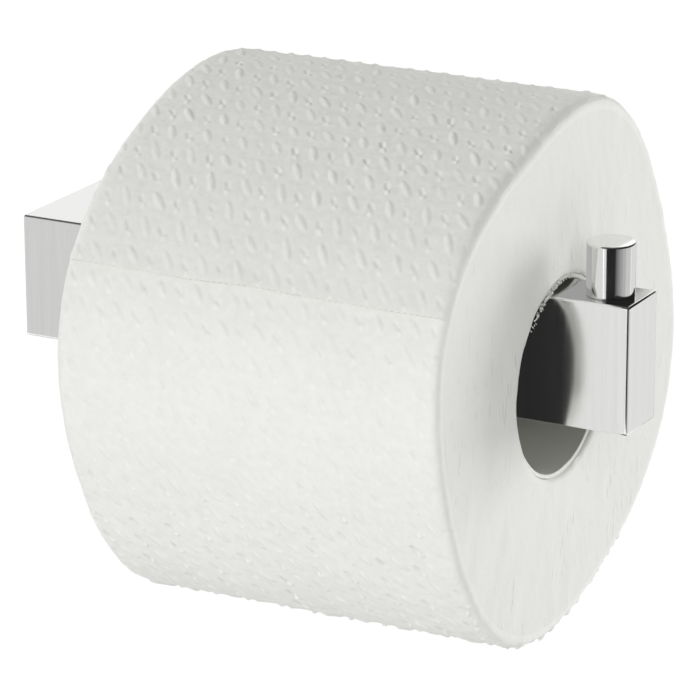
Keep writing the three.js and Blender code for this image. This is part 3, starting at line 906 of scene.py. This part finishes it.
def shade_card():
    """Card behind the roll that only shades: it keeps the rim light off the roll's back."""
    left, right, y = ROLL_LEFT - 0.12, ROLL_RIGHT + 0.085, AXIS.y + 0.3
    half = 0.13                           # half its height
    verts = [(left, y, AXIS.z - half), (right, y, AXIS.z - half),
             (right, y, AXIS.z + half), (left, y, AXIS.z + half)]
    card = add_mesh("shade_card", verts, [(0, 1, 2, 3)], [glow("shade_card", 0.0)])
    card.visible_camera = False
    card.visible_diffuse = False
    card.visible_glossy = False
    card.visible_transmission = False


def floor():
    """Pale floor, seen and mirrored as white; the light off it comes from the surroundings."""
    size, height = 40.0, -0.9
    verts = [(-size, -size, height), (size, -size, height), (size, size, height),
             (-size, size, height)]
    plane = add_mesh("floor", verts, [(0, 1, 2, 3)], [glow("pale_floor", 1.02)])
    plane.visible_diffuse = False
    plane.visible_shadow = False


def backdrop():
    """White wall round everything, for the views that look above the floor."""
    radius, n = 8.0, 64
    turns = np.linspace(0, 2 * math.pi, n, endpoint=False)
    verts = [(radius * math.cos(a), radius * math.sin(a), z) for z in (-1.0, 10.0) for a in turns]
    faces = [(k, (k + 1) % n, n + (k + 1) % n, n + k) for k in range(n)]
    wall = add_mesh("backdrop", verts, faces, [glow("backdrop", 1.02)])
    wall.visible_diffuse = False
    wall.visible_glossy = False
    wall.visible_shadow = False


def area_light(name, azimuth, elevation, distance, size):
    """Rectangular lamp that faces the roll. Mirror reflections don't see it."""
    data = bpy.data.lights.new(name, "AREA")
    data.shape = "RECTANGLE"
    data.size, data.size_y = size
    data.energy = STRENGTH[name] * distance * distance
    obj = bpy.data.objects.new(name, data)
    obj.location = AXIS + distance * direction(math.radians(azimuth), math.radians(elevation))
    obj.rotation_euler = (obj.location - AXIS).to_track_quat("Z", "Y").to_euler()
    obj.visible_camera = False
    obj.visible_glossy = False
    bpy.context.scene.collection.objects.link(obj)


def surroundings():
    """Soft light from all round, strongest off the floor."""
    world = bpy.data.worlds.new("studio")
    bpy.context.scene.world = world
    world.use_nodes = True
    nodes, links = world.node_tree.nodes, world.node_tree.links
    place = nodes.new("ShaderNodeTexCoord")
    parts = nodes.new("ShaderNodeSeparateXYZ")
    height = nodes.new("ShaderNodeMapRange")
    height.inputs["From Min"].default_value = -1.0
    ramp = nodes.new("ShaderNodeValToRGB")
    links.new(place.outputs["Generated"], parts.inputs[0])
    links.new(parts.outputs[2], height.inputs[0])
    links.new(height.outputs[0], ramp.inputs[0])
    elements = ramp.color_ramp.elements
    elements.new(0.5)
    for element, position, name in zip(elements, (0.4, 0.6, 0.8),
                                       ("below", "horizon", "overhead")):
        element.position = position
        element.color = (STRENGTH[name],) * 3 + (1.0,)
    links.new(ramp.outputs[0], nodes["Background"].inputs["Color"])


def studio():
    bpy.context.scene.view_settings.view_transform = "Standard"
    surroundings()
    floor()
    backdrop()
    shade_card()
    pin_cards()
    curved_card("edge_card", (-24, -7), (CARD_FOOT, 0.4), CARD_DISTANCE, 1.4)
    curved_card("near_card", (-7, 4.6), (CARD_FOOT, 0.4), CARD_DISTANCE, 0.8)
    curved_card("dark_card", (4.6, 46), (CARD_FOOT, 1.3), CARD_DISTANCE, 0.015)
    greys = [(46, 0.09), (50, 0.15), (55, 0.22), (61, 0.29), (69, 0.37), (80, 0.47), (96, 0.62)]
    for k, (start, value) in enumerate(greys):
        stop = greys[k + 1][0] if k + 1 < len(greys) else 126
        curved_card("grey_card_%d" % k, (start, stop), (CARD_FOOT, 0.1), CARD_DISTANCE, value)
    curved_card("upper_card", (46, 178), (0.12, 1.4), 1.55, 0.02)
    curved_card("end_card", (130, 175), (CARD_FOOT, 0.1), CARD_DISTANCE, 0.76)
    curved_card("front_card", (-75, -24), (CARD_FOOT, 0.4), CARD_DISTANCE, 0.62)
    curved_card("back_card", (-180, -110), (0.1, 1.5), CARD_DISTANCE, 1.2)
    curved_card("left_card", (-178, -95), (-1.2, -0.1), CARD_DISTANCE, 0.05)
    curved_card("top_card", (-180, 180), (0.9, 2.6), 1.0, 0.06)
    under_card()
    bounce_card()
    dark_bore()
    area_light("key", -118, 36, 1.3, (0.35, 0.35))
    area_light("front", -24, 20, 1.8, (1.1, 0.9))
    area_light("rim", 153, 3, 1.5, (0.45, 0.8))
    area_light("fill", 42, 25, 1.8, (1.0, 1.0))


camera()
bar_body()
end_cap()
stop_pin()
paper_roll()
loose_sheet()
core_tube()
core_fray()
finish_cad_nodes()
studio()
